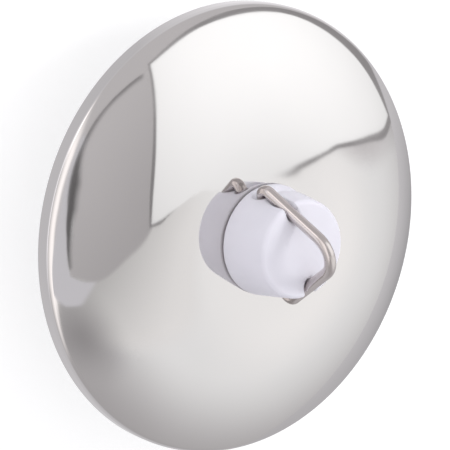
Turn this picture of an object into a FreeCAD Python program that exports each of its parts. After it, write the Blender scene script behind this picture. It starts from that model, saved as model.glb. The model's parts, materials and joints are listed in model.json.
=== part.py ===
import FreeCAD, Part
import math
import os

# Drain stopper: a polished dome cap held in the neck of a one-piece rubber plug, whose grip knob
# carries a bent-wire pull ring. Millimetres, +Z up, origin under the middle of the plug's flat foot.

# Cap: sheet dome with a level crown and a turned-down rim
CAP_DIAMETER = 76.0
CAP_RISE = 10.5
CAP_SHEET = 0.7
CAP_CROWN_FLAT = 26.0
CAP_SKIRT = 2.0
CAP_EDGE_RADIUS = 1.4

# Plug below the cap: two stepped sealing lands with tapered lead-ins, hollow from below
LOWER_LAND_DIAMETER = 39.0
LOWER_LAND_HEIGHT = 5.0
UPPER_LAND_DIAMETER = 50.5
UPPER_LAND_HEIGHT = 6.0
UPPER_LAND_INSIDE_CAP = 3.0
LEAD_IN_HEIGHT = 2.0
LEAD_IN_TAPER = 1.0
PLUG_WALL = 3.5
PLUG_WEB = 5.0
CAVITY_DRAFT = 1.5
PLUG_CORNER_RADIUS = 0.8

# Shoulder and neck that carry the cap
SHOULDER_INSET = 0.6
SHOULDER_EDGE = 1.5
NECK_DIAMETER = 12.0
NECK_CLEARANCE = 0.1
KNOB_LIFT = 0.15

# Grip knob above the cap
KNOB_BASE_DIAMETER = 18.7
KNOB_TOP_DIAMETER = 16.2
KNOB_HEIGHT = 9.2
KNOB_CROWN = 0.4
KNOB_BASE_RADIUS = 0.4
KNOB_RIM_RADIUS = 0.7
KNOB_CROWN_RADIUS = 24.0

# Pull ring: wire triangle whose third side is the axle in the knob's cross-hole
WIRE_DIAMETER = 1.95
AXLE_HEIGHT = 2.6
AXLE_OFFSET = 0.8
AXLE_CLEARANCE = 0.08
AXLE_END_GAP = 1.0
HOLE_MOUTH_DEPTH = 0.9
HOLE_MOUTH_FLARE = 0.35
LEG_ANGLE = 56.5
CORNER_INSET = 0.55
CORNER_BEND_RADIUS = 1.3
APEX_BEND_RADIUS = 3.85
RING_LEAN = 4.0
FOLD_ANGLE = 90.0
NOTCH_CLEARANCE = 0.3

FULL_TURN = 360.0
X_AXIS = FreeCAD.Vector(1, 0, 0)
Y_AXIS = FreeCAD.Vector(0, 1, 0)
Z_AXIS = FreeCAD.Vector(0, 0, 1)
ORIGIN = FreeCAD.Vector(0, 0, 0)

# Heights, from the foot upwards
lower_land_top = LEAD_IN_HEIGHT + LOWER_LAND_HEIGHT
upper_land_top = lower_land_top + LEAD_IN_HEIGHT + UPPER_LAND_HEIGHT
rim_z = upper_land_top - UPPER_LAND_INSIDE_CAP
crown_z = rim_z + CAP_RISE
shoulder_z = crown_z - CAP_SHEET
knob_base_z = crown_z + KNOB_LIFT
knob_rim_z = knob_base_z + KNOB_HEIGHT
axle_z = knob_base_z + AXLE_HEIGHT

# Radii
cap_radius = CAP_DIAMETER / 2
crown_flat_radius = CAP_CROWN_FLAT / 2
neck_radius = NECK_DIAMETER / 2
knob_base_radius = KNOB_BASE_DIAMETER / 2
knob_top_radius = KNOB_TOP_DIAMETER / 2
wire_radius = WIRE_DIAMETER / 2
notch_radius = wire_radius + NOTCH_CLEARANCE
knob_taper = (knob_base_radius - knob_top_radius) / KNOB_HEIGHT
knob_radius_at_axle = knob_base_radius - knob_taper * AXLE_HEIGHT

# The ring's triangle with sharp corners: half its base on the axle, and its height above it
leg_angle = math.radians(LEG_ANGLE)
corner_turn = math.pi - leg_angle
corner_tangent = CORNER_BEND_RADIUS * math.tan(corner_turn / 2)
half_base = knob_radius_at_axle - CORNER_INSET + corner_tangent
ring_height = half_base * math.tan(leg_angle)


def section_point(radius, height):
    """A point of a profile in the XZ plane."""
    return FreeCAD.Vector(radius, 0, height)


def rounded_wire(corners):
    """A closed wire through (radius, height, rounding) corners, each rounded by a tangent arc."""
    points = [section_point(radius, height) for radius, height, _ in corners]
    roundings = [rounding for _, _, rounding in corners]
    starts = []
    ends = []
    arcs = []
    for index, corner in enumerate(points):
        before = (points[index - 1] - corner).normalize()
        after = (points[(index + 1) % len(points)] - corner).normalize()
        if roundings[index] == 0:
            starts.append(corner)
            ends.append(corner)
            arcs.append(None)
            continue
        half_angle = before.getAngle(after) / 2
        reach = roundings[index] / math.tan(half_angle)
        start = corner + before * reach
        end = corner + after * reach
        bisector = (before + after).normalize()
        nearest = roundings[index] / math.sin(half_angle) - roundings[index]
        starts.append(start)
        ends.append(end)
        arcs.append(Part.Arc(start, corner + bisector * nearest, end).toShape())
    edges = []
    for index in range(len(points)):
        following = (index + 1) % len(points)
        if arcs[index]:
            edges.append(arcs[index])
        edges.append(Part.LineSegment(ends[index], starts[following]).toShape())
    return Part.Wire(edges)


def turned(wire):
    """The solid that a closed profile sweeps about the Z axis."""
    return Part.Face(wire).revolve(ORIGIN, Z_AXIS, FULL_TURN)


def make_cap():
    """Sheet dome: level crown, one large arc, a tight bend and a straight skirt, one sheet thick."""
    bend_centre_radius = cap_radius - CAP_EDGE_RADIUS
    bend_centre_z = rim_z + CAP_SKIRT
    run = bend_centre_radius - crown_flat_radius
    drop = crown_z - bend_centre_z
    dome_radius = (run**2 + drop**2 - CAP_EDGE_RADIUS**2) / (2 * (drop - CAP_EDGE_RADIUS))
    dome_centre_z = crown_z - dome_radius
    edge_slope = math.asin(run / (dome_radius - CAP_EDGE_RADIUS))
    hole_radius = neck_radius + NECK_CLEARANCE

    def on_dome(depth, slope):
        radius = dome_radius - depth
        return section_point(
            crown_flat_radius + radius * math.sin(slope),
            dome_centre_z + radius * math.cos(slope),
        )

    def on_bend(depth, slope):
        radius = CAP_EDGE_RADIUS - depth
        return section_point(
            bend_centre_radius + radius * math.sin(slope),
            bend_centre_z + radius * math.cos(slope),
        )

    def sheet_side(depth):
        """Edges of one face of the sheet, from the hole to the rim, at a depth below the outside."""
        hole_edge = section_point(hole_radius, crown_z - depth)
        crown_edge = on_dome(depth, 0)
        dome_middle = on_dome(depth, edge_slope / 2)
        dome_edge = on_dome(depth, edge_slope)
        bend_middle = on_bend(depth, (edge_slope + math.pi / 2) / 2)
        bend_edge = on_bend(depth, math.pi / 2)
        rim_edge = section_point(cap_radius - depth, rim_z)
        return [
            Part.LineSegment(hole_edge, crown_edge).toShape(),
            Part.Arc(crown_edge, dome_middle, dome_edge).toShape(),
            Part.Arc(dome_edge, bend_middle, bend_edge).toShape(),
            Part.LineSegment(bend_edge, rim_edge).toShape(),
        ]

    rim_cut = Part.LineSegment(
        section_point(cap_radius, rim_z), section_point(cap_radius - CAP_SHEET, rim_z)
    ).toShape()
    hole_wall = Part.LineSegment(
        section_point(hole_radius, crown_z), section_point(hole_radius, shoulder_z)
    ).toShape()
    profile = sheet_side(0) + [rim_cut] + sheet_side(CAP_SHEET) + [hole_wall]
    return turned(Part.Wire(Part.__sortEdges__(profile)))


def make_plug_body():
    """The whole rubber moulding as turned: plug, shoulder, neck groove and knob, without side cuts."""
    lower_radius = LOWER_LAND_DIAMETER / 2
    upper_radius = UPPER_LAND_DIAMETER / 2
    foot_radius = lower_radius - LEAD_IN_TAPER
    mouth_radius = foot_radius - PLUG_WALL
    cavity_top_radius = mouth_radius - CAVITY_DRAFT
    cavity_top_z = shoulder_z - PLUG_WEB
    shoulder_radius = crown_flat_radius - SHOULDER_INSET
    crown_break_radius = knob_top_radius / 2
    return turned(
        rounded_wire(
            [
                (mouth_radius, 0, 0),
                (foot_radius, 0, PLUG_CORNER_RADIUS),
                (lower_radius, LEAD_IN_HEIGHT, 0),
                (lower_radius, lower_land_top, 0),
                (upper_radius - LEAD_IN_TAPER, lower_land_top, PLUG_CORNER_RADIUS),
                (upper_radius, lower_land_top + LEAD_IN_HEIGHT, 0),
                (upper_radius, upper_land_top, PLUG_CORNER_RADIUS),
                (shoulder_radius, shoulder_z - SHOULDER_EDGE, 0),
                (shoulder_radius, shoulder_z, 0),
                (neck_radius, shoulder_z, 0),
                (neck_radius, knob_base_z, 0),
                (knob_base_radius, knob_base_z, KNOB_BASE_RADIUS),
                (knob_top_radius, knob_rim_z, KNOB_RIM_RADIUS),
                (crown_break_radius, knob_rim_z + KNOB_CROWN, KNOB_CROWN_RADIUS),
                (0, knob_rim_z + KNOB_CROWN, 0),
                (0, cavity_top_z, 0),
                (cavity_top_radius, cavity_top_z, PLUG_CORNER_RADIUS),
            ]
        )
    )


def ring_point(along, above):
    """A point in the upright ring's plane, along the axle and above it; the axle lies in front of +Z."""
    return FreeCAD.Vector(along, -AXLE_OFFSET, axle_z + above)


def leg_offset_point(above, outwards):
    """A point at a height above the axle on a line beside the ring's +X leg, moved square to it."""
    along = half_base - above / math.tan(leg_angle) + outwards / math.sin(leg_angle)
    return ring_point(along, above)


def folded(shape, angle):
    """A shape turned about the axle by an angle from upright, away from the notch walls, towards +Y."""
    turned_shape = shape.copy()
    turned_shape.rotate(ring_point(0, 0), X_AXIS, -angle)
    return turned_shape


def both_ends(shape):
    """A shape at the +X end of the axle, joined with its mirror image at the -X end."""
    return shape.fuse(shape.mirror(ORIGIN, X_AXIS))


def make_leg_room():
    """Room for one leg of the ring: its notch at rest, and the sweep to where it lies folded."""
    knob_corner = math.hypot(knob_base_radius + AXLE_OFFSET, KNOB_HEIGHT + KNOB_CROWN)
    reach = min(knob_corner, ring_height) + notch_radius
    outside = half_base + reach

    def beside_leg(outwards):
        """The face that lies outside a line beside the leg, in the upright ring's plane."""
        outline = [
            leg_offset_point(0, outwards),
            leg_offset_point(reach, outwards),
            ring_point(outside, reach),
            ring_point(outside, 0),
        ]
        return Part.Face(Part.makePolygon(outline + outline[:1]))

    sweep = beside_leg(-notch_radius).revolve(ring_point(0, 0), X_AXIS, -FOLD_ANGLE)
    notch = beside_leg(0).extrude(-Y_AXIS * notch_radius)
    leg_start = leg_offset_point(0, 0)
    leg_run = leg_offset_point(reach, 0) - leg_start
    leg_bore = Part.makeCylinder(notch_radius, leg_run.Length, leg_start, leg_run)
    return folded(sweep.fuse([notch, leg_bore, folded(leg_bore, FOLD_ANGLE)]), RING_LEAN)


def make_plug():
    """Rubber moulding with its cross-hole, flared for the ring's bends, and the room that the legs need."""
    hole_radius = wire_radius + AXLE_CLEARANCE
    hole_start = ring_point(-half_base, 0)
    cross_hole = Part.makeCylinder(hole_radius, 2 * half_base, hole_start, X_AXIS)
    mouth_start = ring_point(knob_radius_at_axle - HOLE_MOUTH_DEPTH, 0)
    mouth_end_radius = hole_radius + 2 * HOLE_MOUTH_FLARE
    mouth = Part.makeCone(hole_radius, mouth_end_radius, 2 * HOLE_MOUTH_DEPTH, mouth_start, X_AXIS)
    return make_plug_body().cut([cross_hole, both_ends(mouth), both_ends(make_leg_room())])


def make_pull_ring():
    """Bent wire: from inside the cross-hole, round three bends and back into the hole."""
    apex_half_angle = math.pi / 2 - leg_angle
    apex_tangent = APEX_BEND_RADIUS / math.tan(apex_half_angle)
    apex_top = ring_height - APEX_BEND_RADIUS / math.sin(apex_half_angle) + APEX_BEND_RADIUS
    corner_middle_angle = corner_turn / 2
    bend_start = half_base - corner_tangent

    def on_leg(from_corner):
        """The point on the +X leg at a distance from its sharp corner on the axle."""
        return ring_point(
            half_base - from_corner * math.cos(leg_angle),
            from_corner * math.sin(leg_angle),
        )

    def mirrored(point):
        return FreeCAD.Vector(-point.x, point.y, point.z)

    leg_length = half_base / math.cos(leg_angle)
    end = ring_point(AXLE_END_GAP / 2, 0)
    corner_in = ring_point(bend_start, 0)
    corner_middle = ring_point(
        bend_start + CORNER_BEND_RADIUS * math.sin(corner_middle_angle),
        CORNER_BEND_RADIUS * (1 - math.cos(corner_middle_angle)),
    )
    corner_out = on_leg(corner_tangent)
    apex_in = on_leg(leg_length - apex_tangent)
    apex_middle = ring_point(0, apex_top)
    path = Part.Wire(
        [
            Part.LineSegment(end, corner_in).toShape(),
            Part.Arc(corner_in, corner_middle, corner_out).toShape(),
            Part.LineSegment(corner_out, apex_in).toShape(),
            Part.Arc(apex_in, apex_middle, mirrored(apex_in)).toShape(),
            Part.LineSegment(mirrored(apex_in), mirrored(corner_out)).toShape(),
            Part.Arc(mirrored(corner_out), mirrored(corner_middle), mirrored(corner_in)).toShape(),
            Part.LineSegment(mirrored(corner_in), mirrored(end)).toShape(),
        ]
    )
    section = Part.Wire(Part.makeCircle(wire_radius, end, X_AXIS))
    return folded(path.makePipeShell([section], True, False), RING_LEAN)


os.makedirs("parts", exist_ok=True)
make_cap().exportStep("parts/cap.step")
make_plug().exportStep("parts/plug.step")
make_pull_ring().exportStep("parts/pull_ring.step")
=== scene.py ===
import json
import math

import bpy
import numpy as np
from mathutils import Matrix, Vector


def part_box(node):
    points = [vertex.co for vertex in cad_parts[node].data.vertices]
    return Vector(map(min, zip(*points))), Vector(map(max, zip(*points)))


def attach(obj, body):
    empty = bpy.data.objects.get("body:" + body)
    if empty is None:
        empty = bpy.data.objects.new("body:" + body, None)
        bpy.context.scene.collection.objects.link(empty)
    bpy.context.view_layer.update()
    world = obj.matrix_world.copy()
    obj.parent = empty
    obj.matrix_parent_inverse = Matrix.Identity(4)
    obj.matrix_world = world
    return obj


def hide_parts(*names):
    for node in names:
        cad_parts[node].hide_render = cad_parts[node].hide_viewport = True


# Drain stopper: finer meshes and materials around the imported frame. Metres, +Z up, +X along the ring's axle.
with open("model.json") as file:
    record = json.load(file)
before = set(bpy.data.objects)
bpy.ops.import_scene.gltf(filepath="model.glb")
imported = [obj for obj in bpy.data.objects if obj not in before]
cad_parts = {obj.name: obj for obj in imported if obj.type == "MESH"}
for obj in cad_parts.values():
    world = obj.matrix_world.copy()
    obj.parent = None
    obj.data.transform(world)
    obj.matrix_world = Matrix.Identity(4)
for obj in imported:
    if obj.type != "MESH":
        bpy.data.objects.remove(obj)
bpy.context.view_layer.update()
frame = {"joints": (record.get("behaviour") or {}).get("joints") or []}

MM = 0.001

# Sizes that the frame gives
cap_low, cap_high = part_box("cap")
_, plug_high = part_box("plug")
ring_joint = next(joint for joint in frame["joints"] if joint["name"] == "ring_fold")
cap_radius = cap_high.x
rim_z = cap_low.z
crown_z = cap_high.z
axle_y = ring_joint["pos_m"][1]
axle_z = ring_joint["pos_m"][2]
fold_angle = math.radians(max(ring_joint["range_deg"]))

# Cap sheet, as it was pressed
CAP_SHEET = 0.7 * MM
CAP_CROWN_FLAT_RADIUS = 13.0 * MM
CAP_CROWN_BLEND = 8.0 * MM
CAP_SKIRT = 2.0 * MM
CAP_EDGE_RADIUS = 1.4 * MM
CAP_LIP_RADIUS = 0.25 * MM
NECK_RADIUS = 6.0 * MM
NECK_CLEARANCE = 0.1 * MM

# Rubber moulding below the cap
LOWER_LAND_RADIUS = 19.5 * MM
LOWER_LAND_HEIGHT = 5.0 * MM
UPPER_LAND_HEIGHT = 6.0 * MM
LEAD_IN_HEIGHT = 2.0 * MM
LEAD_IN_TAPER = 1.0 * MM
PLUG_WALL = 3.5 * MM
PLUG_WEB = 5.0 * MM
CAVITY_DRAFT = 1.5 * MM
PLUG_CORNER_RADIUS = 0.8 * MM
PLUG_EDGE_RADIUS = 0.3 * MM
SHOULDER_INSET = 0.6 * MM
SHOULDER_EDGE = 1.5 * MM
KNOB_LIFT = 0.15 * MM

# Grip knob
KNOB_BASE_RADIUS = 9.35 * MM
KNOB_TOP_RADIUS = 8.1 * MM
KNOB_HEIGHT = 9.2 * MM
KNOB_BASE_ROUNDING = 0.4 * MM
KNOB_RIM_ROUNDING = 0.8 * MM
KNOB_RIDGE_HEIGHT = 0.8 * MM
KNOB_RIDGE_SHIFT = -2.5 * MM
KNOB_RIDGE_SOFTNESS = 1.6 * MM
KNOB_RIDGE_OVERHANG = 1.0 * MM
KNOB_CENTRE_HEIGHT = 4.4 * MM
GROOVE_CLEARANCE = 0.06 * MM
GROOVE_SOFTNESS = 0.5 * MM
HOLE_CLEARANCE = 0.08 * MM
HOLE_SOFTNESS = 0.35 * MM
HOLE_DEPTH = 2.6 * MM
DENT_DEPTH = 0.14 * MM
DENT_REACH = 1.9 * MM

# Pull ring
WIRE_RADIUS = 0.975 * MM
AXLE_END_GAP = 1.0 * MM
LEG_ANGLE = math.radians(56.5)
CORNER_INSET = 0.55 * MM
CORNER_BEND_RADIUS = 1.3 * MM
APEX_BEND_RADIUS = 3.85 * MM
RING_LEAN = math.radians(4.0)
WIRE_END_ROUNDING = 0.2 * MM

# Mesh fineness: segments round the axis or the wire, and points along each stretch of a profile or path.
# KNOB_CROWDING draws the plug's segments towards the axle's ends.
CAP_SEGMENTS = 288
CAP_STRAIGHT_STEPS = 3
CAP_BLEND_STEPS = 40
CAP_DOME_STEPS = 64
CAP_BEND_STEPS = 20
CAP_INNER_DOME_STEPS = 40
CAP_INNER_BEND_STEPS = 10
CAP_LIP_STEPS = 7
PLUG_SEGMENTS = 320
PLUG_CORNER_STEPS = 6
KNOB_TOP_STEPS = 42
KNOB_RIM_STEPS = 14
KNOB_SIDE_STEPS = 56
KNOB_BASE_STEPS = 8
KNOB_CROWDING = 0.7
WIRE_SEGMENTS = 40
WIRE_AXLE_STEPS = 24
WIRE_CORNER_STEPS = 22
WIRE_LEG_STEPS = 36
WIRE_APEX_STEPS = 15

# Heights and radii that follow
lower_land_top = LEAD_IN_HEIGHT + LOWER_LAND_HEIGHT
upper_land_top = lower_land_top + LEAD_IN_HEIGHT + UPPER_LAND_HEIGHT
upper_land_radius = plug_high.x
shoulder_z = crown_z - CAP_SHEET
knob_base_z = crown_z + KNOB_LIFT
knob_rim_z = knob_base_z + KNOB_HEIGHT
knob_taper = (KNOB_BASE_RADIUS - KNOB_TOP_RADIUS) / KNOB_HEIGHT
knob_radius_at_axle = KNOB_BASE_RADIUS - knob_taper * (axle_z - knob_base_z)
corner_turn = math.pi - LEG_ANGLE
corner_tangent = CORNER_BEND_RADIUS * math.tan(corner_turn / 2)
half_base = knob_radius_at_axle - CORNER_INSET + corner_tangent
ring_height = half_base * math.tan(LEG_ANGLE)


# Profiles and meshes

def arc(centre, radius, start, end, steps):
    """Points of an arc in a (radius, height) profile; angles are measured from straight up, outwards."""
    angles = np.linspace(start, end, steps)
    return [(centre[0] + radius * math.sin(a), centre[1] + radius * math.cos(a)) for a in angles]


def run(start, end, steps):
    """Evenly spaced points of a straight run, without its two ends."""
    shares = np.linspace(0, 1, steps + 2)[1:-1]
    return [(start[0] + (end[0] - start[0]) * s, start[1] + (end[1] - start[1]) * s) for s in shares]


def rounded(before, corner, after, rounding, steps):
    """Points of the tangent arc that rounds a profile corner."""
    corner = np.array(corner)
    to_before = np.array(before) - corner
    to_after = np.array(after) - corner
    to_before = to_before / np.linalg.norm(to_before)
    to_after = to_after / np.linalg.norm(to_after)
    half_angle = math.acos(np.clip(to_before @ to_after, -1, 1)) / 2
    bisector = (to_before + to_after) / np.linalg.norm(to_before + to_after)
    centre = corner + bisector * rounding / math.sin(half_angle)
    start = corner + to_before * rounding / math.tan(half_angle) - centre
    end = corner + to_after * rounding / math.tan(half_angle) - centre
    sweep = math.pi - 2 * half_angle
    points = []
    for share in np.linspace(0, 1, steps):
        weight_start = math.sin((1 - share) * sweep) / math.sin(sweep)
        weight_end = math.sin(share * sweep) / math.sin(sweep)
        points.append(tuple(centre + start * weight_start + end * weight_end))
    return points


def new_object(name, vertices, faces, smooth=True):
    """A mesh object in the scene, shaded smooth unless it is flat."""
    mesh = bpy.data.meshes.new(name)
    mesh.from_pydata([tuple(v) for v in vertices], [], faces)
    mesh.validate()
    if smooth:
        mesh.shade_smooth()
    made = bpy.data.objects.new(name, mesh)
    bpy.context.scene.collection.objects.link(made)
    return made


def ring_faces(rows, segments, closed):
    """Quads between neighbouring rows of a turned mesh, and from the last row to the first if closed.

    They face outwards when the profile runs from the axis at the top outwards.
    """
    faces = []
    pairs = rows if closed else rows - 1
    for row in range(pairs):
        upper = row * segments
        lower = ((row + 1) % rows) * segments
        for step in range(segments):
            following = (step + 1) % segments
            faces.append((upper + step, lower + step, lower + following, upper + following))
    return faces


def turned_points(profile, angles):
    """Vertices of a profile turned about Z, row by row."""
    profile = np.array(profile)
    points = np.zeros((len(profile), len(angles), 3))
    points[:, :, 0] = profile[:, :1] * np.cos(angles)
    points[:, :, 1] = profile[:, :1] * np.sin(angles)
    points[:, :, 2] = profile[:, 1:2]
    return points


def full_turn(segments):
    """Evenly spaced angles round a circle."""
    return np.linspace(0, 2 * math.pi, segments, endpoint=False)


# Cap: one pressed sheet, polished outside and left dull inside

CAP_DULL_INDEX = 1


def make_cap():
    """The turned sheet: crown, dome, bend and skirt outside, then back up inside, where it is dull."""
    bend_centre = (cap_radius - CAP_EDGE_RADIUS, rim_z + CAP_SKIRT)
    reach = bend_centre[0] - CAP_CROWN_FLAT_RADIUS
    drop = crown_z - bend_centre[1]
    hole_radius = NECK_RADIUS + NECK_CLEARANCE

    def dome_radius(fall):
        """Radius of the arc that leaves the level crown and meets the rim's bend, this far below."""
        return (reach**2 + fall**2 - CAP_EDGE_RADIUS**2) / (2 * (fall - CAP_EDGE_RADIUS))

    def side(depth, settle, dome_start, dome_steps, bend_steps):
        """One face of the sheet, from the dome's start to the end of the bend."""
        radius = dome_radius(drop - settle)
        centre = (CAP_CROWN_FLAT_RADIUS, crown_z - settle - radius)
        edge_slope = math.asin(reach / (radius - CAP_EDGE_RADIUS))
        dome = arc(centre, radius - depth, math.asin(dome_start / radius), edge_slope, dome_steps)
        bend = arc(bend_centre, CAP_EDGE_RADIUS - depth, edge_slope, math.pi / 2, bend_steps)
        return dome + bend[1:]

    # Outside, the dome's curvature sets in evenly over the blend. That is a cubic, and it ends below the
    # plain arc by a 24th of the blend's square over the radius, so the dome settles by as much.
    settle = CAP_CROWN_BLEND**2 / 24 / dome_radius(drop)
    blend_radius = dome_radius(drop - settle)
    blend_start = CAP_CROWN_FLAT_RADIUS - CAP_CROWN_BLEND / 2
    outside = [(hole_radius + CAP_LIP_RADIUS, crown_z)]
    outside += run(outside[0], (blend_start, crown_z), CAP_STRAIGHT_STEPS)
    for step in np.linspace(0, CAP_CROWN_BLEND, CAP_BLEND_STEPS)[:-1]:
        outside.append((blend_start + step, crown_z - step**3 / (6 * CAP_CROWN_BLEND * blend_radius)))
    outside += side(0, settle, CAP_CROWN_BLEND / 2, CAP_DOME_STEPS, CAP_BEND_STEPS)
    outside += run(outside[-1], (cap_radius, rim_z), CAP_STRAIGHT_STEPS)

    lip_z = rim_z + CAP_LIP_RADIUS
    outer_lip = (cap_radius - CAP_LIP_RADIUS, lip_z)
    inner_lip = (cap_radius - CAP_SHEET + CAP_LIP_RADIUS, lip_z)
    lip = arc(outer_lip, CAP_LIP_RADIUS, math.pi / 2, math.pi, CAP_LIP_STEPS)
    inside = arc(inner_lip, CAP_LIP_RADIUS, math.pi, 1.5 * math.pi, CAP_LIP_STEPS)
    inside += reversed(side(CAP_SHEET, 0, 0, CAP_INNER_DOME_STEPS, CAP_INNER_BEND_STEPS))
    hole_edge = [(hole_radius, shoulder_z), (hole_radius, crown_z - CAP_LIP_RADIUS)]
    profile = outside + lip + inside + hole_edge

    points = turned_points(profile, full_turn(CAP_SEGMENTS)).reshape(-1, 3)
    cap = new_object("cap_polished", points, ring_faces(len(profile), CAP_SEGMENTS, True))
    first_inside_face = (len(outside) + len(lip)) * CAP_SEGMENTS
    for polygon in cap.data.polygons[first_inside_face:]:
        polygon.material_index = CAP_DULL_INDEX
    return cap


# Plug: one rubber moulding, its knob dented by the ring's legs

def plug_profile():
    """(radius, height) points of the knob and of all below it, and the height of the hollow's roof."""
    foot_radius = LOWER_LAND_RADIUS - LEAD_IN_TAPER
    mouth_radius = foot_radius - PLUG_WALL
    cavity_top = (mouth_radius - CAVITY_DRAFT, shoulder_z - PLUG_WEB)
    shoulder_radius = CAP_CROWN_FLAT_RADIUS - SHOULDER_INSET
    top_middle = (0, knob_rim_z)
    rim = (KNOB_TOP_RADIUS, knob_rim_z)
    base = (KNOB_BASE_RADIUS, knob_base_z)
    neck_top = (NECK_RADIUS, knob_base_z)
    rim_arc = rounded(top_middle, rim, base, KNOB_RIM_ROUNDING, KNOB_RIM_STEPS)
    base_arc = rounded(rim, base, neck_top, KNOB_BASE_ROUNDING, KNOB_BASE_STEPS)
    top = run(top_middle, rim_arc[0], KNOB_TOP_STEPS)
    flank = run(rim_arc[-1], base_arc[0], KNOB_SIDE_STEPS)
    knob = top + rim_arc + flank + base_arc

    # Corners below the knob, each with its rounding
    corners = [
        (neck_top, 0),
        ((NECK_RADIUS, shoulder_z), 0),
        ((shoulder_radius, shoulder_z), PLUG_EDGE_RADIUS),
        ((shoulder_radius, shoulder_z - SHOULDER_EDGE), 0),
        ((upper_land_radius, upper_land_top), PLUG_CORNER_RADIUS),
        ((upper_land_radius, lower_land_top + LEAD_IN_HEIGHT), PLUG_EDGE_RADIUS),
        ((upper_land_radius - LEAD_IN_TAPER, lower_land_top), PLUG_CORNER_RADIUS),
        ((LOWER_LAND_RADIUS, lower_land_top), 0),
        ((LOWER_LAND_RADIUS, LEAD_IN_HEIGHT), PLUG_EDGE_RADIUS),
        ((foot_radius, 0), PLUG_CORNER_RADIUS),
        ((mouth_radius, 0), PLUG_EDGE_RADIUS),
        (cavity_top, PLUG_CORNER_RADIUS),
        ((0, cavity_top[1]), 0),
    ]
    below = []
    for index in range(len(corners) - 1):
        point, rounding = corners[index]
        if rounding == 0:
            below.append(point)
            continue
        below += rounded(corners[index - 1][0], point, corners[index + 1][0], rounding, PLUG_CORNER_STEPS)
    return knob, below, cavity_top[1]


def distance_to_line(points, start, direction):
    """Distances of points from an endless line."""
    offset = points - start
    along = offset @ direction
    return np.linalg.norm(offset - along[..., None] * direction, axis=-1)


def smooth_max(first, second, softness):
    """The larger of two fields, blended where they are within the softness of each other."""
    blend = np.clip(softness - np.abs(first - second), 0, None) / softness
    return np.maximum(first, second) + blend**2 * softness / 4


def leg_lines():
    """Start and direction of the ring's legs, at rest and folded."""
    lines = []
    rise = math.sin(LEG_ANGLE)
    for side in (-1, 1):
        start = np.array((side * half_base, axle_y, axle_z))
        for turn in (RING_LEAN, RING_LEAN + fold_angle):
            direction = (-side * math.cos(LEG_ANGLE), rise * math.sin(turn), rise * math.cos(turn))
            lines.append((start, np.array(direction)))
    return lines


def ridge_height(points):
    """How far the knob's top stands above its rim: a soft ridge along X, nearer to the front."""
    along, across = points[..., 0], points[..., 1]
    edge = np.sqrt(np.clip(KNOB_TOP_RADIUS**2 - along**2, 0, None)) + KNOB_RIDGE_OVERHANG
    behind = (across - KNOB_RIDGE_SHIFT) / (edge - KNOB_RIDGE_SHIFT)
    ahead = (KNOB_RIDGE_SHIFT - across) / (edge + KNOB_RIDGE_SHIFT)
    fall = np.maximum(behind, ahead)
    softness = KNOB_RIDGE_SOFTNESS / KNOB_TOP_RADIUS
    fall = np.sqrt(np.clip(fall, 0, None)**2 + softness**2) - softness
    ends = np.clip(1 - (along / KNOB_TOP_RADIUS)**2, 0, 1)
    return KNOB_RIDGE_HEIGHT * np.clip(1 - fall, 0, 1) * ends


def dented(points, normals):
    """The knob's outside pressed in towards its middle, until it clears the ring's legs and axle."""
    least_facing = 0.2
    deepest_share = 0.3
    halvings = 40
    centre = np.array((0, 0, knob_base_z + KNOB_CENTRE_HEIGHT))
    ray = points - centre
    length = np.linalg.norm(ray, axis=-1)
    ray = ray / length[..., None]
    facing = np.clip((ray * normals).sum(-1), least_facing, 1)
    lines = leg_lines()
    leg_room = WIRE_RADIUS + GROOVE_CLEARANCE
    hole_room = WIRE_RADIUS + HOLE_CLEARANCE
    axle_start = np.array((0, axle_y, axle_z))
    axle_direction = np.array((1.0, 0, 0))

    def field(reach):
        """Above zero outside the pressed knob."""
        here = centre + ray * reach[..., None]
        value = (reach - length) * facing
        nearest = np.full(reach.shape, np.inf)
        for start, direction in lines:
            away = distance_to_line(here, start, direction)
            nearest = np.minimum(nearest, away)
            value = smooth_max(value, leg_room - away, GROOVE_SOFTNESS)
        value = value + DENT_DEPTH * np.exp(-(nearest / DENT_REACH)**2)
        axle_away = distance_to_line(here, axle_start, axle_direction)
        within = np.abs(here[..., 0]) - (knob_radius_at_axle - HOLE_DEPTH)
        pit = np.minimum(hole_room - axle_away, within)
        return smooth_max(value, pit, HOLE_SOFTNESS)

    low = length * deepest_share
    high = length.copy()
    for _ in range(halvings):
        middle = (low + high) / 2
        outside = field(middle) > 0
        high = np.where(outside, middle, high)
        low = np.where(outside, low, middle)
    return centre + ray * low[..., None]


def row_normals(points):
    """Outward directions of a turned grid, from its neighbours along and across the rows."""
    smallest = 1e-12
    along = np.roll(points, -1, axis=1) - np.roll(points, 1, axis=1)
    down = np.gradient(points, axis=0)
    normals = np.cross(down, along)
    size = np.linalg.norm(normals, axis=-1)
    return normals / np.clip(size, smallest, None)[..., None]


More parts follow.
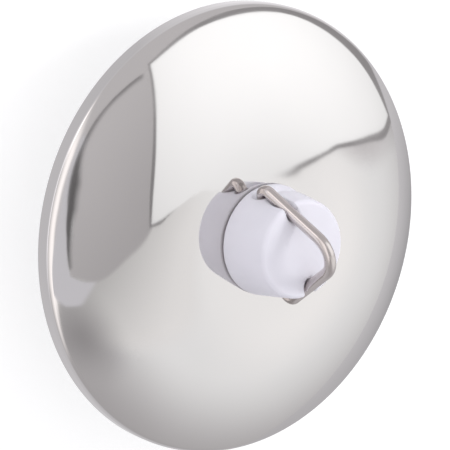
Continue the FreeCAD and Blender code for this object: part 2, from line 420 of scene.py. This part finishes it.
def make_plug():
    """The moulding: a turned grid, crowded round the axle's ends, whose knob is ridged and then dented."""
    knob, below, roof_z = plug_profile()
    even = full_turn(PLUG_SEGMENTS)
    angles = even - KNOB_CROWDING * np.sin(2 * even) / 2
    knob_points = turned_points(knob, angles)
    above_flank = knob_points[..., 2] - (knob_rim_z - KNOB_RIM_ROUNDING)
    knob_points[..., 2] += ridge_height(knob_points) * np.clip(above_flank / KNOB_RIM_ROUNDING, 0, 1)
    knob_points = dented(knob_points, row_normals(knob_points))
    below_points = turned_points(below, angles)
    rows = np.concatenate([knob_points, below_points])
    vertices = list(rows.reshape(-1, 3))
    faces = ring_faces(len(rows), PLUG_SEGMENTS, False)
    top_index = len(vertices)
    vertices.append(np.array((0, 0, knob_points[0, :, 2].mean())))
    roof_index = len(vertices)
    vertices.append(np.array((0, 0, roof_z)))
    last_row = (len(rows) - 1) * PLUG_SEGMENTS
    for step in range(PLUG_SEGMENTS):
        following = (step + 1) % PLUG_SEGMENTS
        faces.append((top_index, step, following))
        faces.append((roof_index, last_row + following, last_row + step))
    return new_object("plug_rubber", vertices, faces)


# Pull ring: one bent wire

def ring_path():
    """Centreline points from one end inside the knob to the other, and the way that each is heading."""
    apex_half_angle = math.pi / 2 - LEG_ANGLE
    apex_tangent = APEX_BEND_RADIUS / math.tan(apex_half_angle)
    apex_centre = ring_height - APEX_BEND_RADIUS / math.sin(apex_half_angle)
    leg_length = half_base / math.cos(LEG_ANGLE)
    bend_start = half_base - corner_tangent
    points = []
    headings = []

    def add(along, above, heading):
        """One more point of the path."""
        points.append((along, above))
        headings.append(heading)

    for along in np.linspace(AXLE_END_GAP / 2, bend_start, WIRE_AXLE_STEPS):
        add(along, 0, 0)
    for turn in np.linspace(0, corner_turn, WIRE_CORNER_STEPS)[1:]:
        along = bend_start + CORNER_BEND_RADIUS * math.sin(turn)
        add(along, CORNER_BEND_RADIUS * (1 - math.cos(turn)), turn)
    for from_corner in np.linspace(corner_tangent, leg_length - apex_tangent, WIRE_LEG_STEPS)[1:]:
        along = half_base - from_corner * math.cos(LEG_ANGLE)
        add(along, from_corner * math.sin(LEG_ANGLE), corner_turn)
    for turn in np.linspace(corner_turn, math.pi, WIRE_APEX_STEPS)[1:]:
        along = APEX_BEND_RADIUS * math.sin(turn)
        add(along, apex_centre - APEX_BEND_RADIUS * math.cos(turn), turn)
    half = list(zip(points, headings))
    for (along, above), heading in reversed(half[:-1]):
        add(-along, above, 2 * math.pi - heading)
    return points, headings


def make_ring():
    """The wire: circles square to its path. The mesh carries the place along and round the wire."""
    points, headings = ring_path()
    axle = np.array((0, axle_y, axle_z))
    upwards = np.array((0, math.sin(RING_LEAN), math.cos(RING_LEAN)))
    sideways = np.array((0, math.cos(RING_LEAN), -math.sin(RING_LEAN)))
    around = full_turn(WIRE_SEGMENTS)
    rows = []
    lengths = []
    travelled = 0
    previous = points[0]
    for (along, above), heading in zip(points, headings):
        travelled += math.hypot(along - previous[0], above - previous[1])
        previous = (along, above)
        lengths.append(travelled)
        middle = axle + np.array((along, 0, 0)) + above * upwards
        square = np.array((-math.sin(heading), 0, 0)) + math.cos(heading) * upwards
        circle = np.outer(np.cos(around), square) + np.outer(np.sin(around), sideways)
        rows.append(middle + WIRE_RADIUS * circle)
    first = rows[0].mean(axis=0)
    last = rows[-1].mean(axis=0)
    end_share = 1 - WIRE_END_ROUNDING / WIRE_RADIUS
    bulge = np.array((WIRE_END_ROUNDING / 2, 0, 0))
    first_rim = first + (rows[0] - first) * end_share - bulge
    last_rim = last + (rows[-1] - last) * end_share + bulge
    rows = np.array([first_rim] + rows + [last_rim])
    lengths = [lengths[0] - WIRE_END_ROUNDING] + lengths + [lengths[-1] + WIRE_END_ROUNDING]
    faces = [tuple(reversed(face)) for face in ring_faces(len(rows), WIRE_SEGMENTS, False)]
    faces.append(tuple(range(WIRE_SEGMENTS)))
    last_row = (len(rows) - 1) * WIRE_SEGMENTS
    faces.append(tuple(last_row + step for step in reversed(range(WIRE_SEGMENTS))))
    ring = new_object("ring_wire", rows.reshape(-1, 3), faces)
    along_wire = ring.data.attributes.new("along_wire", "FLOAT", "POINT")
    along_wire.data.foreach_set("value", np.repeat(lengths, WIRE_SEGMENTS).astype(np.float32))
    round_wire = ring.data.attributes.new("round_wire", "FLOAT_VECTOR", "POINT")
    circle = np.stack([np.cos(around), np.sin(around), np.zeros(WIRE_SEGMENTS)], axis=1)
    round_wire.data.foreach_set("vector", np.tile(circle, (len(rows), 1)).astype(np.float32).ravel())
    return ring


# Materials

NOISE_LOW = 0.3
NOISE_HIGH = 0.7
WIRE_STRETCH = 60


def new_material(name, metallic=0):
    """A material with its node tree and its principled shader."""
    material = bpy.data.materials.new(name)
    material.use_nodes = True
    tree = material.node_tree
    shader = tree.nodes["Principled BSDF"]
    shader.inputs["Metallic"].default_value = metallic
    return material, tree, shader


def add_node(tree, kind, **inputs):
    """A node with some of its inputs set; an underscore in a keyword stands for a space."""
    node = tree.nodes.new(kind)
    for name, value in inputs.items():
        node.inputs[name.replace("_", " ")].default_value = value
    return node


def object_place(tree):
    """The place on the object."""
    return tree.nodes.new("ShaderNodeTexCoord").outputs["Object"]


def attribute(tree, name):
    """A value or vector that the mesh carries at its points."""
    node = tree.nodes.new("ShaderNodeAttribute")
    node.attribute_name = name
    return node.outputs


def noise(tree, vector, scale, detail):
    """Soft noise about 0.5."""
    node = add_node(tree, "ShaderNodeTexNoise", Scale=scale, Detail=detail)
    tree.links.new(vector, node.inputs["Vector"])
    return node.outputs["Fac"]


def set_colour(tree, shader, source, dark, light):
    """A colour between two, by a value from 0 to 1."""
    ramp = tree.nodes.new("ShaderNodeValToRGB")
    ramp.color_ramp.elements[0].color = (*dark, 1)
    ramp.color_ramp.elements[1].color = (*light, 1)
    tree.links.new(source, ramp.inputs["Fac"])
    tree.links.new(ramp.outputs["Color"], shader.inputs["Base Color"])


def set_roughness(tree, shader, source, low, high):
    """A roughness between two, by the usual span of a noise."""
    span = add_node(
        tree, "ShaderNodeMapRange", From_Min=NOISE_LOW, From_Max=NOISE_HIGH, To_Min=low, To_Max=high
    )
    tree.links.new(source, span.inputs["Value"])
    tree.links.new(span.outputs["Result"], shader.inputs["Roughness"])


def set_bump(tree, shader, height, strength, distance):
    """Fine relief by a height."""
    node = add_node(tree, "ShaderNodeBump", Strength=strength, Distance=distance)
    tree.links.new(height, node.inputs["Height"])
    tree.links.new(node.outputs["Normal"], shader.inputs["Normal"])


def ring_marks(tree, scale):
    """Fine rings about Z, as a polishing wheel leaves them: noise of the distance from the axis alone."""
    split = tree.nodes.new("ShaderNodeSeparateXYZ")
    tree.links.new(object_place(tree), split.inputs["Vector"])
    flat = tree.nodes.new("ShaderNodeCombineXYZ")
    tree.links.new(split.outputs["X"], flat.inputs["X"])
    tree.links.new(split.outputs["Y"], flat.inputs["Y"])
    radius = tree.nodes.new("ShaderNodeVectorMath")
    radius.operation = "LENGTH"
    tree.links.new(flat.outputs["Vector"], radius.inputs[0])
    place = tree.nodes.new("ShaderNodeCombineXYZ")
    tree.links.new(radius.outputs["Value"], place.inputs["X"])
    return noise(tree, place.outputs["Vector"], scale, detail=3)


def polished_metal():
    """Mirror polish with faint smudges and polishing rings."""
    material, tree, shader = new_material("polished_metal", metallic=1)
    smudge = noise(tree, object_place(tree), scale=60, detail=4)
    set_colour(tree, shader, smudge, dark=(0.70, 0.687, 0.685), light=(0.73, 0.717, 0.715))
    set_roughness(tree, shader, smudge, low=0.035, high=0.07)
    set_bump(tree, shader, ring_marks(tree, scale=9000), strength=0.02, distance=0.02 * MM)
    return material


def dull_metal():
    """Pressed sheet with the rings of its tool."""
    material, tree, shader = new_material("dull_metal", metallic=1)
    marks = ring_marks(tree, scale=4000)
    set_colour(tree, shader, marks, dark=(0.50, 0.49, 0.49), light=(0.60, 0.59, 0.59))
    set_roughness(tree, shader, marks, low=0.28, high=0.42)
    set_bump(tree, shader, marks, strength=0.15, distance=0.05 * MM)
    return material


def white_rubber():
    """Satin moulded rubber that lets a little light in."""
    material, tree, shader = new_material("white_rubber")
    cloud = noise(tree, object_place(tree), scale=220, detail=5)
    set_colour(tree, shader, cloud, dark=(0.78, 0.77, 0.83), light=(0.85, 0.84, 0.90))
    set_roughness(tree, shader, cloud, low=0.42, high=0.55)
    shader.inputs["Specular IOR Level"].default_value = 0.4
    shader.inputs["Subsurface Weight"].default_value = 0.12
    shader.inputs["Subsurface Radius"].default_value = (1.0, 0.9, 0.95)
    shader.inputs["Subsurface Scale"].default_value = 1.2 * MM
    grain = noise(tree, object_place(tree), scale=3200, detail=3)
    set_bump(tree, shader, grain, strength=0.05, distance=0.05 * MM)
    return material


def wire_metal():
    """Drawn wire, its streaks running along it."""
    material, tree, shader = new_material("ring_wire", metallic=1)
    around = attribute(tree, "round_wire")["Vector"]
    along = attribute(tree, "along_wire")["Fac"]
    lengthwise = tree.nodes.new("ShaderNodeCombineXYZ")
    tree.links.new(along, lengthwise.inputs["Z"])
    stretched = tree.nodes.new("ShaderNodeVectorMath")
    stretched.operation = "MULTIPLY_ADD"
    stretched.inputs[1].default_value = (WIRE_STRETCH, WIRE_STRETCH, WIRE_STRETCH)
    tree.links.new(lengthwise.outputs["Vector"], stretched.inputs[0])
    tree.links.new(around, stretched.inputs[2])
    drawn = noise(tree, stretched.outputs["Vector"], scale=9, detail=4)
    set_colour(tree, shader, drawn, dark=(0.56, 0.52, 0.51), light=(0.69, 0.645, 0.635))
    set_roughness(tree, shader, drawn, low=0.16, high=0.25)
    set_bump(tree, shader, drawn, strength=0.08, distance=0.04 * MM)
    return material


# The object

cap = make_cap()
cap.data.materials.append(polished_metal())
cap.data.materials.append(dull_metal())
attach(cap, "cap")
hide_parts("cap")

plug = make_plug()
plug.data.materials.append(white_rubber())
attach(plug, "plug")
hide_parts("plug")

ring = make_ring()
ring.data.materials.append(wire_metal())
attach(ring, "pull_ring")
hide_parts("pull_ring")


# Studio: white surroundings, a pale floor, and cards that only reflections show.
# A direction is an azimuth and an elevation in degrees, seen from the crown.
# Azimuths run from STUDIO_TURN degrees past +X towards +Y.

STUDIO_CENTRE = Vector((0, 0, crown_z))
STUDIO_TURN = 5.5

# Tints, the light all round, and the lamps
WHITE = (1, 1, 1)
NEUTRAL = (1.0, 0.965, 0.975)
LAVENDER = (0.97, 0.955, 1.0)
WARM = (1.0, 0.955, 0.94)
PALE = (1.0, 0.985, 0.975)
AMBIENT_TINT = (0.97, 0.96, 1.0)
AMBIENT = 0.84
LAMP_DISTANCE = 1.0
LAMP_SIZE = 0.3

# Floor: its half width, the colour that lights the part, and the grey and glow that are seen
FLOOR_REACH = 4.0
FLOOR_COLOUR = (0.8, 0.8, 0.82)
FLOOR_SHADED = (0.4, 0.4, 0.4)
FLOOR_GLOW = 0.72

# Mat: a glowing sheet on the floor, that only reflections show, its glow given by side as (azimuth, near the
# part, far away).
# The glow is painted light and shade: near the part it is the part's painted shadow on the floor, darkest at
# azimuths 45 to 65 and light at 110 to 140; far off at azimuths -142 to -105 it is a painted light that the
# wire mirrors as its highlight.
# The near glow gives way to the far one over the last MAT_FADE degrees below the rim's level.
MAT_INNER = 30 * MM
MAT_OUTER = 2200 * MM
MAT_HEIGHT = 0.5 * MM
MAT_FADE = 16
MAT_TINT = (0.98, 0.96, 0.985)
MAT_PAINTED_SHADING = [
    (-180, 0.66, 0.72), (-160, 0.66, 0.8), (-142, 0.68, 1.45), (-105, 0.68, 1.45), (-85, 0.7, 0.7),
    (-60, 0.7, 0.62), (-10, 0.66, 0.5), (20, 0.56, 0.6), (45, 0.44, 0.72), (65, 0.44, 0.72), (90, 0.7, 0.8),
    (110, 1.0, 0.7), (140, 1.0, 0.66), (180, 0.66, 0.72),
]

# Softbox: its corners, each with the width of the dark frame beside it; a corner given twice is sharp
SOFTBOX = [
    (153.5, 50.3, 0.8), (153.5, 50.3, 0.8), (131.5, 38, 1.5), (105.5, 20, 2.6), (82, 5.5, 4.6),
    (69.5, 0, 5.4), (69.5, 0, 5.4), (68.5, 6.5, 1.5), (68.5, 20.5, 1.1), (66.4, 35.8, 0.8),
    (61.9, 42.8, 0.5), (57.4, 46.9, 0.5), (53.6, 49.1, 0.4), (50.4, 50.1, 0.2), (49.1, 50.5, -0.3),
    (49, 52.2, -0.6), (50.3, 56, -0.6), (52, 63, -0.4), (45, 71.8, 0.2), (37.5, 75.2, 0.7),
    (26, 78.7, 0.9), (26, 78.7, 0.9), (78, 82.8, 1.3), (142.5, 72, 0.9),
]


def mixed(tree, share, first, second):
    """Two shaders mixed: the first where the share is 0, the second where it is 1."""
    mix = tree.nodes.new("ShaderNodeMixShader")
    tree.links.new(share, mix.inputs["Fac"])
    tree.links.new(first, mix.inputs[1])
    tree.links.new(second, mix.inputs[2])
    return mix.outputs[0]


def background_share(tree):
    """1 for rays that see the background: from the camera, off gloss or through glass."""
    path = tree.nodes.new("ShaderNodeLightPath")
    share = path.outputs["Is Camera Ray"]
    for kind in ("Is Glossy Ray", "Is Transmission Ray"):
        larger = tree.nodes.new("ShaderNodeMath")
        larger.operation = "MAXIMUM"
        tree.links.new(share, larger.inputs[0])
        tree.links.new(path.outputs[kind], larger.inputs[1])
        share = larger.outputs[0]
    return share


def make_world():
    """White where it is seen, and a dimmer, cooler light on the part."""
    world = bpy.data.worlds.new("studio")
    bpy.context.scene.world = world
    world.use_nodes = True
    tree = world.node_tree
    tree.nodes.clear()
    ambient = add_node(tree, "ShaderNodeBackground", Color=(*AMBIENT_TINT, 1), Strength=AMBIENT)
    white = add_node(tree, "ShaderNodeBackground", Color=(*WHITE, 1), Strength=1)
    out = tree.nodes.new("ShaderNodeOutputWorld")
    light = mixed(tree, background_share(tree), ambient.outputs[0], white.outputs[0])
    tree.links.new(light, out.inputs["Surface"])


def stage_material(name):
    """An empty material for the stage, and its output."""
    material = bpy.data.materials.new(name)
    material.use_nodes = True
    tree = material.node_tree
    tree.nodes.clear()
    out = tree.nodes.new("ShaderNodeOutputMaterial")
    return material, tree, out.inputs["Surface"]


def make_floor():
    """A pale floor that keeps the part's shadow, and is clear from below, where the underside is seen."""
    corners = [
        (-FLOOR_REACH, -FLOOR_REACH, 0), (FLOOR_REACH, -FLOOR_REACH, 0),
        (FLOOR_REACH, FLOOR_REACH, 0), (-FLOOR_REACH, FLOOR_REACH, 0),
    ]
    floor = new_object("floor", corners, [(0, 1, 2, 3)], smooth=False)
    material, tree, surface = stage_material("pale_floor")
    diffuse = add_node(tree, "ShaderNodeBsdfDiffuse", Color=(*FLOOR_COLOUR, 1))
    shaded = add_node(tree, "ShaderNodeBsdfDiffuse", Color=(*FLOOR_SHADED, 1))
    glow = add_node(tree, "ShaderNodeEmission", Color=(*WHITE, 1), Strength=FLOOR_GLOW)
    seen = tree.nodes.new("ShaderNodeAddShader")
    tree.links.new(shaded.outputs[0], seen.inputs[0])
    tree.links.new(glow.outputs[0], seen.inputs[1])
    upper = mixed(tree, background_share(tree), diffuse.outputs[0], seen.outputs[0])
    from_below = tree.nodes.new("ShaderNodeNewGeometry").outputs["Backfacing"]
    clear = tree.nodes.new("ShaderNodeBsdfTransparent")
    tree.links.new(mixed(tree, from_below, upper, clear.outputs[0]), surface)
    floor.data.materials.append(material)


def heading(azimuth, elevation):
    """The unit vector of a direction in the studio."""
    a, e = math.radians(azimuth + STUDIO_TURN), math.radians(elevation)
    return Vector((math.cos(a) * math.cos(e), math.sin(a) * math.cos(e), math.sin(e)))


def glowing_sheet(name, places, faces, covers, glows, colour):
    """A sheet that only reflections show, with a glow at each point; it is clear where its cover is 0."""
    sheet = new_object(name, places, faces, smooth=False)
    for kind, values in (("cover", covers), ("glow", glows)):
        carried = sheet.data.attributes.new(kind, "FLOAT", "POINT")
        carried.data.foreach_set("value", np.array(values, dtype=np.float32))
    material, tree, surface = stage_material(name)
    light = add_node(tree, "ShaderNodeEmission", Color=(*colour, 1))
    tree.links.new(attribute(tree, "glow")["Fac"], light.inputs["Strength"])
    clear = tree.nodes.new("ShaderNodeBsdfTransparent")
    soft = tree.nodes.new("ShaderNodeMapRange")
    soft.interpolation_type = "SMOOTHSTEP"
    tree.links.new(attribute(tree, "cover")["Fac"], soft.inputs["Value"])
    tree.links.new(mixed(tree, soft.outputs["Result"], clear.outputs[0], light.outputs[0]), surface)
    sheet.data.materials.append(material)
    sheet.visible_camera = False
    sheet.visible_diffuse = False
    sheet.visible_shadow = False


def disc_faces(spokes, rings):
    """Faces of a disc: a middle point, then rings of points from the inside out."""
    faces = []
    for spoke in range(spokes):
        following = (spoke + 1) % spokes
        faces.append((0, 1 + spoke, 1 + following))
        for ring_index in range(rings - 1):
            near = 1 + ring_index * spokes
            far = near + spokes
            faces.append((near + spoke, far + spoke, far + following, near + following))
    return faces


def headings_of(corners):
    """Directions of an outline's corners, each given by its azimuth and elevation first."""
    return [heading(azimuth, elevation) for azimuth, elevation, *_ in corners]


def widened(corners):
    """Directions of an outline's corners, each moved outwards by the width in degrees that it gives last."""
    directions = headings_of(corners)
    moved = []
    for index, here in enumerate(directions):
        others = directions[index + 1:] + directions[:index]
        following = next(other for other in others if other != here)
        previous = next(other for other in reversed(others) if other != here)
        outwards = here.cross(following - previous).normalized()
        width = math.radians(corners[index][-1])
        moved.append((here + outwards * width).normalized())
    return moved


def smooth_outline(directions):
    """Directions round a closed outline, curved between its corners; a corner given twice stays sharp."""
    steps = 5
    count = len(directions)
    outline = []
    for index in range(count):
        first = directions[index]
        last = directions[(index + 1) % count]
        if (last - first).length == 0:
            continue
        before = directions[index - 1]
        after = directions[(index + 2) % count]
        length = (last - first).length
        leaving = (last - before) * length / (length + (first - before).length)
        arriving = (after - first) * length / (length + (after - last).length)
        for step in range(steps):
            s = step / steps
            point = first * (2 * s**3 - 3 * s**2 + 1) + leaving * (s**3 - 2 * s**2 + s)
            point += last * (3 * s**2 - 2 * s**3) + arriving * (s**3 - s**2)
            outline.append(point.normalized())
    return outline


def make_card(name, corners, border, distance, colour, glow_from, glow_to):
    """A card between the directions of its corners; its glow runs evenly from one direction to another.

    Both ends of the glow are (azimuth, elevation, glow), and the border is the width of its soft edge.
    """
    rings = 5
    least_inside = 0.1
    outline = smooth_outline(corners)
    middle = sum(outline, Vector()).normalized()
    directions = [middle]
    covers = [1.0]
    for ring_index in range(1, rings + 2):
        at_edge = ring_index > rings
        for corner in outline:
            inside = max(least_inside, 1 - math.radians(border) / corner.angle(middle))
            share = 1.0 if at_edge else inside * ring_index / rings
            directions.append(middle.slerp(corner, share))
            covers.append(0.0 if at_edge else 1.0)
    start = heading(*glow_from[:2])
    way = heading(*glow_to[:2]) - start
    glows = []
    for direction in directions:
        share = min(1, max(0, (direction - start).dot(way) / way.length_squared))
        glows.append(glow_from[2] + (glow_to[2] - glow_from[2]) * share)
    places = [STUDIO_CENTRE + direction * distance for direction in directions]
    glowing_sheet(name, places, disc_faces(len(outline), rings + 1), covers, glows, colour)


def make_patch(name, azimuth, elevation, half_width, half_height, distance, colour, glow):
    """A soft light or shade about a direction, fading from its middle to its edge."""
    spokes = 32
    rings = 8
    middle = heading(azimuth, elevation)
    across = Vector((0, 0, 1)).cross(middle).normalized()
    upwards = middle.cross(across)
    places = [STUDIO_CENTRE + middle * distance]
    covers = [1.0]
    for ring_index in range(1, rings + 1):
        share = ring_index / rings
        for spoke in range(spokes):
            turn = 2 * math.pi * spoke / spokes
            sideways = math.radians(half_width) * share * math.cos(turn)
            rise = math.radians(half_height) * share * math.sin(turn)
            angle = math.hypot(sideways, rise)
            tangent = (across * sideways + upwards * rise) / angle
            direction = middle * math.cos(angle) + tangent * math.sin(angle)
            places.append(STUDIO_CENTRE + direction * distance)
            covers.append(1 - share)
    glowing_sheet(name, places, disc_faces(spokes, rings), covers, [glow] * len(places), colour)


def make_ribbon(name, stations, end_border, low_border, high_border, distance, colour, glow):
    """A long card between two edges: stations of (azimuth, lower edge, upper edge), with soft borders."""
    columns = 60
    rows = 24
    azimuths, lows, highs = zip(*stations)
    places = []
    covers = []
    for azimuth in np.linspace(azimuths[0], azimuths[-1], columns):
        low = np.interp(azimuth, azimuths, lows)
        high = np.interp(azimuth, azimuths, highs)
        from_end = min(azimuth - azimuths[0], azimuths[-1] - azimuth) / end_border
        for elevation in np.linspace(low, high, rows):
            from_low = (elevation - low) / low_border
            from_high = (high - elevation) / high_border
            places.append(STUDIO_CENTRE + heading(azimuth, elevation) * distance)
            covers.append(min(1, from_end, from_low, from_high))
    faces = []
    for column in range(columns - 1):
        for row in range(rows - 1):
            first = column * rows + row
            faces.append((first, first + 1, first + rows + 1, first + rows))
    glowing_sheet(name, places, faces, covers, [glow] * len(places), colour)


def make_mirrored_floor_shading():
    """A glowing sheet on the floor round the stopper, that the cap's rim and the ring mirror instead of the
    floor: painted shadow near the part, painted light far off on the camera's side.
    """
    spokes = 48
    rings = 20
    azimuths, near_glows, far_glows = zip(*MAT_PAINTED_SHADING)
    places = []
    covers = []
    glows = []
    for ring_index in range(rings + 1):
        radius = MAT_INNER * (MAT_OUTER / MAT_INNER)**(ring_index / rings)
        depression = math.degrees(math.atan2(rim_z, radius - cap_radius))
        far_share = max(0, 1 - depression / MAT_FADE)
        for spoke in range(spokes):
            azimuth = 360 * spoke / spokes - 180
            way = heading(azimuth, 0)
            places.append(Vector((way.x * radius, way.y * radius, MAT_HEIGHT)))
            covers.append(0.0 if ring_index in (0, rings) else 1.0)
            # Painted shading: the near glow is the part's painted shadow on the floor, and it gives way to the
            # far glow.
            near_glow = np.interp(azimuth, azimuths, near_glows)
            far_glow = np.interp(azimuth, azimuths, far_glows)
            glows.append(near_glow + (far_glow - near_glow) * far_share)
    glowing_sheet("mirrored_floor_shading", places, ring_faces(rings + 1, spokes, False), covers, glows, MAT_TINT)


def make_lamp(name, azimuth, elevation, power):
    """A soft lamp for the shape of the rubber and the floor's shadow; the metal mirrors the cards instead."""
    data = bpy.data.lights.new(name, "AREA")
    data.shape = "DISK"
    data.size = LAMP_SIZE
    data.energy = power
    lamp = bpy.data.objects.new(name, data)
    bpy.context.scene.collection.objects.link(lamp)
    way = heading(azimuth, elevation)
    lamp.location = STUDIO_CENTRE + way * LAMP_DISTANCE
    lamp.rotation_euler = way.to_track_quat("Z", "Y").to_euler()
    lamp.visible_glossy = False


make_world()
make_floor()
make_mirrored_floor_shading()
make_lamp("key", azimuth=90, elevation=42, power=3.0)
make_lamp("fill", azimuth=-155, elevation=12, power=1.2)

# The white light area and its dark frame, over the back and the top
make_card(
    "softbox", headings_of(SOFTBOX), border=0.5, distance=1.2, colour=WHITE,
    glow_from=(104, 40, 1.42), glow_to=(-63, -28, -0.62),
)
make_card(
    "softbox_frame", widened(SOFTBOX), border=0.4, distance=1.22, colour=NEUTRAL,
    glow_from=(100, 35, 0.36), glow_to=(35, 78, 0.27),
)

# The grey panel at the left, its dark edge and the lavender card below that
make_card(
    "overhead_panel",
    headings_of([
        (150, 50), (156.5, 52), (176.5, 56), (-153, 60), (-115, 64), (-76, 57.5), (-76, 57.5), (-57.5, 65),
        (-30, 75), (23.5, 77), (60, 79), (120, 72),
    ]),
    border=1.5, distance=1.24, colour=NEUTRAL, glow_from=(-150, 60, 0.65), glow_to=(-10, 76, 0.5),
)
make_ribbon(
    "panel_edge",
    [
        (-204, 52.4, 55.2), (-190, 54.6, 57.4), (-178, 56.0, 58.6), (-152, 58.6, 61.8), (-132, 59.9, 66.2),
        (-115, 61.0, 66.6), (-97, 60.4, 64.4), (-78, 58.2, 60.6),
    ],
    end_border=4, low_border=0.6, high_border=3.2, distance=1.2, colour=NEUTRAL, glow=0.14,
)
make_ribbon(
    "lavender_card",
    [
        (-160, 56.0, 60.0), (-132, 58.0, 61.6), (-115, 57.6, 62.2), (-98, 55.0, 61.4), (-76, 47.0, 58.6),
        (-66, 50.0, 62.5), (-57, 57.0, 67.0),
    ],
    end_border=4, low_border=1.5, high_border=0.8, distance=1.3, colour=LAVENDER, glow=0.74,
)

# Lights and walls round the sides, which the rim and the wire mirror
make_ribbon(
    "front_light",
    [
        (-168, -18, 57), (-145, -18, 59.5), (-132, -10, 59.5), (-116, -10, 59), (-100, -10, 57),
        (-76, -10, 54), (-53, -10, 42),
    ],
    end_border=24, low_border=56, high_border=1.5, distance=1.45, colour=WARM, glow=1.4,
)
make_ribbon(
    "left_wall", [(88, -6, 30), (125, -6, 60), (160, -6, 64), (275, -6, 64)],
    end_border=4, low_border=2, high_border=3, distance=1.5, colour=NEUTRAL, glow=0.64,
)
make_ribbon(
    "table_end",
    [
        (-92, -16, 84), (-32, -16, 82), (-16, -16, 70), (0, -16, 55), (20, -16, 37), (45, -16, 24),
        (63, -16, 24), (70, -16, 44), (78, -16, 44),
    ],
    end_border=4, low_border=2, high_border=54, distance=1.6, colour=NEUTRAL, glow=0.5,
)
make_patch(
    "ring_light", azimuth=-152, elevation=7, half_width=20, half_height=16,
    distance=1.44, colour=WARM, glow=1.9,
)

# Soft shades and a light in the pale lower half
make_card(
    "panel_shade",
    headings_of([
        (-84, 44), (-60, 45), (-35, 48), (-10, 50), (15, 52), (38, 53), (52, 54), (62, 68), (100, 80),
        (-150, 75), (-110, 66), (-92, 56),
    ]),
    border=7, distance=1.55, colour=PALE, glow_from=(-57, 80, 0.6), glow_to=(13, 59.5, 1.0),
)
make_patch(
    "left_shade", azimuth=-50, elevation=48, half_width=22, half_height=17,
    distance=1.5, colour=NEUTRAL, glow=0.38,
)
make_patch(
    "right_light", azimuth=46, elevation=41, half_width=30, half_height=24,
    distance=1.7, colour=PALE, glow=1.16,
)
make_patch(
    "edge_shade", azimuth=67, elevation=22, half_width=5.5, half_height=26,
    distance=1.26, colour=NEUTRAL, glow=0.74,
)


# Camera, from the photograph's viewing angle

IMAGE_SIZE = 450
SENSOR_WIDTH = 36.0
VIEW_AZIMUTH = math.radians(-37.5)
VIEW_ELEVATION = math.radians(51.05)
VIEW_ROLL = math.radians(107.0)
VIEW_DISTANCE = 12 * cap_radius
FOCAL_PIXELS = 2734.0
AIM_RIGHT_PIXELS = 3.6
AIM_DOWN_PIXELS = 2.1
CLIP_NEAR = 0.01
CLIP_FAR = 20


def make_camera():
    """The photograph's camera, aimed a few pixels beside the middle of the rim's plane."""
    flat = math.cos(VIEW_ELEVATION)
    back = Vector((math.sin(VIEW_AZIMUTH) * flat, -math.cos(VIEW_AZIMUTH) * flat, math.sin(VIEW_ELEVATION)))
    level = Vector((math.cos(VIEW_AZIMUTH), math.sin(VIEW_AZIMUTH), 0))
    upright = back.cross(level)
    right = level * math.cos(VIEW_ROLL) + upright * math.sin(VIEW_ROLL)
    up = upright * math.cos(VIEW_ROLL) - level * math.sin(VIEW_ROLL)
    pixel = VIEW_DISTANCE / FOCAL_PIXELS
    aim = Vector((0, 0, rim_z)) - right * AIM_RIGHT_PIXELS * pixel + up * AIM_DOWN_PIXELS * pixel
    place = aim + back * VIEW_DISTANCE
    data = bpy.data.cameras.new("camera")
    data.sensor_width = SENSOR_WIDTH
    data.lens = SENSOR_WIDTH * FOCAL_PIXELS / IMAGE_SIZE
    data.clip_start = CLIP_NEAR
    data.clip_end = CLIP_FAR
    camera = bpy.data.objects.new("camera", data)
    bpy.context.scene.collection.objects.link(camera)
    turn = Matrix((right, up, back)).transposed().to_4x4()
    camera.matrix_world = Matrix.Translation(place) @ turn
    bpy.context.scene.camera = camera


make_camera()
bpy.context.scene.view_settings.view_transform = "Standard"
